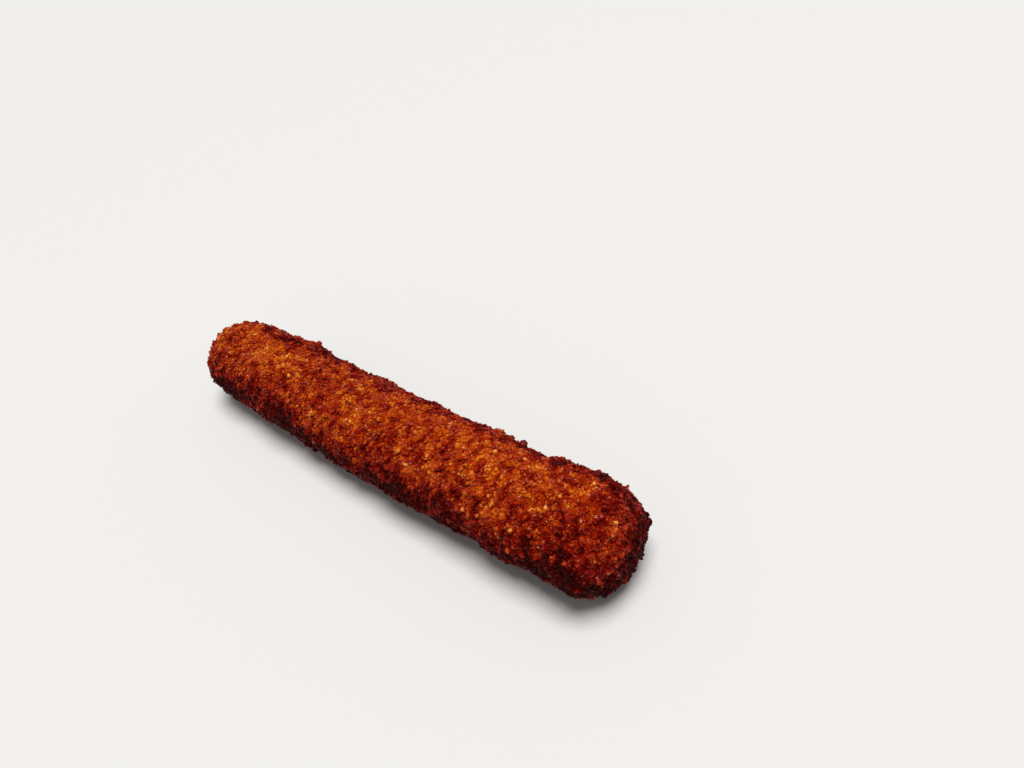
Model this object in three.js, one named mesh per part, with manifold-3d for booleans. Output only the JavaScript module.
// A giant mozzarella stick: one log of cheese inside a craggy crust of deep-fried breadcrumbs.
// It is uncut, so it is one solid. Its form is a long round log with a slight taper and bow,
// a rounded tip at one end and a blunter one at the other, lumps where the cheese swelled,
// a crumb relief all over, large crags fused on, and a narrow flat where it rests.
// Units are millimetres, +Z is up. The origin is under the middle of the stick, on the surface
// that it rests on. +X runs along the stick to its thick blunt end, and +Y to its far side.

import * as THREE from "three";
import { mergeVertices } from "three/addons/utils/BufferGeometryUtils.js";
import Module from "manifold-3d";

// Driving dimensions of the log, measured on the mean surface of the crust.
const LENGTH = 229;
const WIDTH = 38.4;
const HEIGHT = 35.8;
const TAPER = 2.0; // how much wider the blunt end is than the narrow end
const BOW = 2.2; // how far the middle of the axis bows towards -Y
const NARROW_END = { depth: 25, roundness: 2.1 };
const BLUNT_END = { depth: 15, roundness: 2.4 };
const PRESSED = 0.8; // how deep the underside is pressed flat in the middle
const END_LIFT = 1.3; // how far both ends rise off the surface that it rests on
const SQUASHED = 0.35; // what is nearer than this to that surface lies flat on it

// The crust: each crumb is a fan of facets round its own peak.
const CRUMB_SPACING = 4.7;
const CRUMB_PEAK = { least: 0.15, most: 1.35 };
const LOW_CRUMBS = 1.6; // the higher this power, the more crumbs are low and the fewer are high
const GROOVE_DEPTH = 0.45;
const CRUMB_STRAY = 0.28; // how far a crumb strays from its place, as a share of the spacing
const FEWEST_IN_RING = 5;
const SEED = 41;

// Large crags stand proud of the crust, spread by a rule over the top and the sides.
const CRAGS = 56;
const CRAG_SIZE = { least: 3.6, most: 6.4 };
const CRAG_FLATNESS = 0.55;
const CRAG_WIDTH = { least: 0.6, most: 0.9 }; // as a share of its length
const CRAG_UNEVENNESS = { least: 0.75, most: 1.25 }; // how far out each of its corners is
const CRAG_SUNK = 0.3; // share of its thickness below the crust
const CRAG_LEAN = 0.5; // largest tilt against the crust, in radians
const CRAG_LOWEST = -0.55; // lowest sine of the angle round the log

// Long swells of the crust, each a wave along and round the log.
const SWELLS = [
  { height: 0.35, wave: 43, turns: 1, phase: 0.6 },
  { height: 0.3, wave: 26, turns: 2, phase: 2.3 },
  { height: 0.25, wave: 17, turns: -3, phase: 4.1 },
  { height: 0.2, wave: 11.5, turns: 4, phase: 1.2 },
];

// Single lumps and dents (negative heights) of the log. The angle is in degrees round it,
// from +Y over the top.
const LUMPS = [
  { x: -90, angle: 30, height: -1.1, reach: 9 },
  { x: -61, angle: 30, height: 2.2, reach: 9 },
  { x: -16, angle: 30, height: 1.3, reach: 7 },
  { x: -1, angle: 30, height: -0.9, reach: 5 },
  { x: 67, angle: 30, height: -1.5, reach: 6 },
  { x: 89, angle: 35, height: 0.6, reach: 8 },
  { x: 103, angle: 30, height: -1.3, reach: 5 },
  { x: -90, angle: 205, height: 0.6, reach: 8 },
  { x: -55, angle: 205, height: -0.5, reach: 10 },
  { x: 2, angle: 205, height: 1.0, reach: 9 },
  { x: -109, angle: 205, height: 1.5, reach: 9 },
  { x: -108, angle: 50, height: -1.3, reach: 9 },
  { x: -96, angle: 110, height: 0.8, reach: 8 },
  { x: 52, angle: 110, height: 0.9, reach: 11 },
  { x: 60, angle: 200, height: -0.8, reach: 9 },
];

const HALF = LENGTH / 2;
const DEGREE = Math.PI / 180;
const SLOPE_STEP = 0.5; // the slope of the side is taken over this step to both sides
const SIDE_LINE_STEPS = 4000;
const ROW_GAP = Math.sin(60 * DEGREE); // rows of a pattern of equal triangles, over its spacing

// The shares by which running numbers spread evenly over 0 to 1, along, round and in size.
const ALONG_SHARE = 0.7548776662;
const ROUND_SHARE = 0.569840291;
const SIZE_SHARE = Math.SQRT2;

// A seeded random draw from 0 to 1, which mixes the bits of a running 32-bit number.
function drawFrom(seed) {
  let state = seed >>> 0;
  return () => {
    state = (state + 0x6d2b79f5) >>> 0;
    let mixed = Math.imul(state ^ (state >>> 15), 1 | state);
    mixed = (mixed + Math.imul(mixed ^ (mixed >>> 7), 61 | mixed)) ^ mixed;
    return ((mixed ^ (mixed >>> 14)) >>> 0) / 2 ** 32;
  };
}

// A value between the least and the most of a range, for a draw from 0 to 1.
function between(range, share) {
  return THREE.MathUtils.lerp(range.least, range.most, share);
}

// How far the width at x has grown from nothing at the tips to its full value, 0 to 1.
function endRounding(x) {
  const end = x < 0 ? NARROW_END : BLUNT_END;
  const inside = THREE.MathUtils.clamp((HALF - Math.abs(x)) / end.depth, 0, 1);
  return Math.pow(1 - Math.pow(1 - inside, end.roundness), 1 / end.roundness);
}

// Half the width of the log at x.
function halfWidth(x) {
  return (WIDTH / 2 + (TAPER / 2) * (x / LENGTH)) * endRounding(x);
}

// The axis of the log: it bows to -Y, and at the height that presses the underside flat.
function axisPoint(x) {
  const share = x / HALF;
  const side = BOW * (share * share - 0.5);
  const full = (WIDTH / 2 + (TAPER / 2) * (x / LENGTH)) * (HEIGHT / WIDTH);
  return new THREE.Vector3(x, side, full - PRESSED + END_LIFT * share * share);
}

// The long swells and single lumps of the surface at x and angle, in millimetres.
function unevenness(x, angle) {
  let height = 0;
  for (const swell of SWELLS) {
    const along = (2 * Math.PI * x) / swell.wave;
    height += swell.height * Math.sin(along + swell.turns * angle + swell.phase);
  }
  for (const lump of LUMPS) {
    const turn = angle - lump.angle * DEGREE;
    const apart = Math.atan2(Math.sin(turn), Math.cos(turn));
    const away = Math.hypot(x - lump.x, (apart * WIDTH) / 2) / lump.reach;
    height += lump.height * Math.exp(-away * away);
  }
  return height * endRounding(x);
}

// The mean surface of the crust at x and an angle round the log, raised by a height.
function crustPoint(x, angle, raised = 0) {
  const axis = axisPoint(x);
  const round = halfWidth(x);
  const outward = new THREE.Vector3(0, Math.cos(angle), Math.sin(angle));
  const before = Math.max(x - SLOPE_STEP, -HALF);
  const after = Math.min(x + SLOPE_STEP, HALF);
  const slope = (halfWidth(after) - halfWidth(before)) / (after - before);
  const normal = outward.clone().add(new THREE.Vector3(-slope, 0, 0)).normalize();
  const flattened = new THREE.Vector3(0, round * outward.y, round * outward.z * (HEIGHT / WIDTH));
  return axis.add(flattened).addScaledVector(normal, unevenness(x, angle) + raised);
}

// The side line of the log from tip to tip, for stations at even steps along the crust.
class SideLine extends THREE.Curve {
  getPoint(t) {
    const x = -HALF * Math.cos(Math.PI * t);
    return new THREE.Vector3(x, halfWidth(x), 0);
  }
}

// Rings of crumbs along the log. A ring holds as many crumbs as fit round it.
function crumbRings(draw) {
  const line = new SideLine();
  line.arcLengthDivisions = SIDE_LINE_STEPS;
  const rows = Math.round(line.getLength() / (CRUMB_SPACING * ROW_GAP));
  const stations = line.getSpacedPoints(rows);
  return stations.map((station, row) => {
    const tip = row === 0 || row === rows;
    const fitting = Math.round((2 * Math.PI * station.y) / CRUMB_SPACING);
    const count = tip ? 1 : Math.max(FEWEST_IN_RING, fitting);
    const step = (2 * Math.PI) / count;
    return Array.from({ length: count }, (_, place) => {
      const strayRound = tip ? 0 : (draw() * 2 - 1) * CRUMB_STRAY * step;
      const reach = Math.min(CRUMB_SPACING, HALF - Math.abs(station.x));
      const strayAlong = (draw() * 2 - 1) * CRUMB_STRAY * reach;
      return {
        x: station.x + strayAlong,
        angle: (place + (row % 2) / 2) * step + strayRound,
        peak: between(CRUMB_PEAK, Math.pow(draw(), LOW_CRUMBS)),
      };
    });
  });
}

// Joins two neighbouring rings into triangles, always stepping on the ring that lags behind.
// A ring of one point is the tip of the log, and takes a fan.
function stitch(first, second, firstStart, secondStart) {
  const triangles = [];
  const place = (ring, i) => (ring.length === 1 ? Infinity : i / ring.length);
  let i = 0;
  let j = 0;
  const firstSteps = first.length === 1 ? 0 : first.length;
  const secondSteps = second.length === 1 ? 0 : second.length;
  while (i < firstSteps || j < secondSteps) {
    const a = firstStart + (i % first.length);
    const b = secondStart + (j % second.length);
    const firstLags = i < firstSteps && place(first, i + 1) < place(second, j + 1);
    if (j >= secondSteps || firstLags) {
      triangles.push([a, firstStart + ((i + 1) % first.length), b]);
      i += 1;
    } else {
      triangles.push([a, secondStart + ((j + 1) % second.length), b]);
      j += 1;
    }
  }
  return triangles;
}

// The triangles between all rings, each with a crumb at every corner.
function neighbourTriangles(rings) {
  const triangles = [];
  let start = 0;
  for (let row = 0; row + 1 < rings.length; row += 1) {
    const next = start + rings[row].length;
    triangles.push(...stitch(rings[row], rings[row + 1], start, next));
    start = next;
  }
  return triangles;
}

// The corners of the crust: the peak of each crumb, and then for each three neighbours the
// groove between them.
function crustCorners(crumbs, neighbours, draw) {
  const level = crumbs.map((crumb) => crustPoint(crumb.x, crumb.angle));
  const corners = crumbs.map((crumb) => crustPoint(crumb.x, crumb.angle, crumb.peak));
  for (const [a, b, c] of neighbours) {
    const middle = level[a].clone().add(level[b]).add(level[c]).divideScalar(3);
    const facing = new THREE.Vector3()
      .crossVectors(level[b].clone().sub(level[a]), level[c].clone().sub(level[a]))
      .normalize();
    corners.push(middle.addScaledVector(facing, -GROOVE_DEPTH * draw()));
  }
  return corners;
}

// The facets of the crust: each joins a crumb's peak to the grooves on the two sides of a line
// to a neighbour. Grooves are numbered after the crumbs.
function crustFacets(neighbours, crumbCount) {
  const grooveBeside = new Map();
  neighbours.forEach(([a, b, c], index) => {
    grooveBeside.set(`${a} ${b}`, crumbCount + index);
    grooveBeside.set(`${b} ${c}`, crumbCount + index);
    grooveBeside.set(`${c} ${a}`, crumbCount + index);
  });
  const facets = [];
  for (const [line, groove] of grooveBeside) {
    const [from, to] = line.split(" ").map(Number);
    facets.push(from, grooveBeside.get(`${to} ${from}`), groove);
  }
  return facets;
}

// The crust as one closed mesh, in which every crumb is a fan of facets round its peak.
function crustGeometry() {
  const draw = drawFrom(SEED);
  const rings = crumbRings(draw);
  const crumbs = rings.flat();
  const neighbours = neighbourTriangles(rings);
  const corners = crustCorners(crumbs, neighbours, draw);
  const places = new Float32Array(corners.length * 3);
  corners.forEach((corner, i) => {
    places.set([corner.x, corner.y, corner.z < SQUASHED ? 0 : corner.z], i * 3);
  });
  const geometry = new THREE.BufferGeometry();
  geometry.setAttribute("position", new THREE.BufferAttribute(places, 3));
  geometry.setIndex(crustFacets(neighbours, crumbs.length));
  return geometry;
}

// The fractional part of a running number times an irrational one spreads evenly over 0 to 1.
function spread(number, irrational) {
  return (number * irrational) % 1;
}

// One crag at the origin: a flattened, uneven lump with twenty facets.
function cragLump(size, draw) {
  const ball = new THREE.IcosahedronGeometry(0.5, 0);
  ball.deleteAttribute("normal");
  ball.deleteAttribute("uv");
  const lump = mergeVertices(ball);
  const places = lump.getAttribute("position");
  const corner = new THREE.Vector3();
  for (let i = 0; i < places.count; i += 1) {
    corner.fromBufferAttribute(places, i).multiplyScalar(between(CRAG_UNEVENNESS, draw()));
    places.setXYZ(i, corner.x, corner.y, corner.z);
  }
  return lump.scale(size, size * between(CRAG_WIDTH, draw()), size * CRAG_FLATNESS);
}

// A lean against the crust both ways, and any turn on it.
function cragTurn(draw) {
  const forward = (draw() - 0.5) * 2 * CRAG_LEAN;
  const sideways = (draw() - 0.5) * 2 * CRAG_LEAN;
  const turn = draw() * 2 * Math.PI;
  return new THREE.Quaternion().setFromEuler(new THREE.Euler(forward, sideways, turn));
}

// The crag of a running number, sunk into its place on the crust.
function cragGeometry(number) {
  const draw = drawFrom(SEED + 1 + number);
  const size = between(CRAG_SIZE, spread(number + 1, SIZE_SHARE) ** 2);
  const reach = HALF - CRAG_SIZE.most;
  const x = THREE.MathUtils.lerp(-reach, reach, spread(number + 1, ALONG_SHARE));
  const lowest = Math.asin(CRAG_LOWEST);
  const angle = THREE.MathUtils.lerp(lowest, Math.PI - lowest, spread(number + 1, ROUND_SHARE));
  const lump = cragLump(size, draw);
  const base = crustPoint(x, angle);
  const up = crustPoint(x, angle, 1).sub(base).normalize();
  const upright = new THREE.Quaternion().setFromUnitVectors(new THREE.Vector3(0, 0, 1), up);
  lump.applyQuaternion(upright.multiply(cragTurn(draw)));
  const seat = base.addScaledVector(up, size * CRAG_FLATNESS * (0.5 - CRAG_SUNK));
  return lump.translate(seat.x, seat.y, seat.z);
}

const wasm = await Module();
wasm.setup();

// A closed geometry with merged vertices as a solid.
function solidFrom(geometry) {
  return new wasm.Manifold(
    new wasm.Mesh({
      numProp: 3,
      vertProperties: geometry.getAttribute("position").array,
      triVerts: new Uint32Array(geometry.index.array),
    }),
  );
}

// A solid as a geometry for a mesh.
function geometryFrom(solid) {
  const mesh = solid.getMesh();
  const geometry = new THREE.BufferGeometry();
  geometry.setAttribute("position", new THREE.BufferAttribute(mesh.vertProperties, 3));
  geometry.setIndex(new THREE.BufferAttribute(mesh.triVerts, 1));
  geometry.computeVertexNormals();
  return geometry;
}

// The crust with every crag joined to it, moved so that its box stands centred on the origin.
function breadedStick() {
  let solid = solidFrom(crustGeometry());
  for (let number = 0; number < CRAGS; number += 1) {
    solid = solid.add(solidFrom(cragGeometry(number)));
  }
  const geometry = geometryFrom(solid);
  geometry.computeBoundingBox();
  const middle = geometry.boundingBox.getCenter(new THREE.Vector3());
  return geometry.translate(-middle.x, -middle.y, -geometry.boundingBox.min.z);
}

const friedCrust = new THREE.MeshStandardMaterial({
  name: "fried_crust",
  color: new THREE.Color().setRGB(0.51, 0.16, 0.06, THREE.SRGBColorSpace),
  roughness: 0.62,
  metalness: 0,
});

const stick = new THREE.Mesh(breadedStick(), friedCrust);
stick.name = "mozzarella_stick";

const part = new THREE.Group();
part.name = "mozzarella_stick_part";
part.add(stick);

export default part;
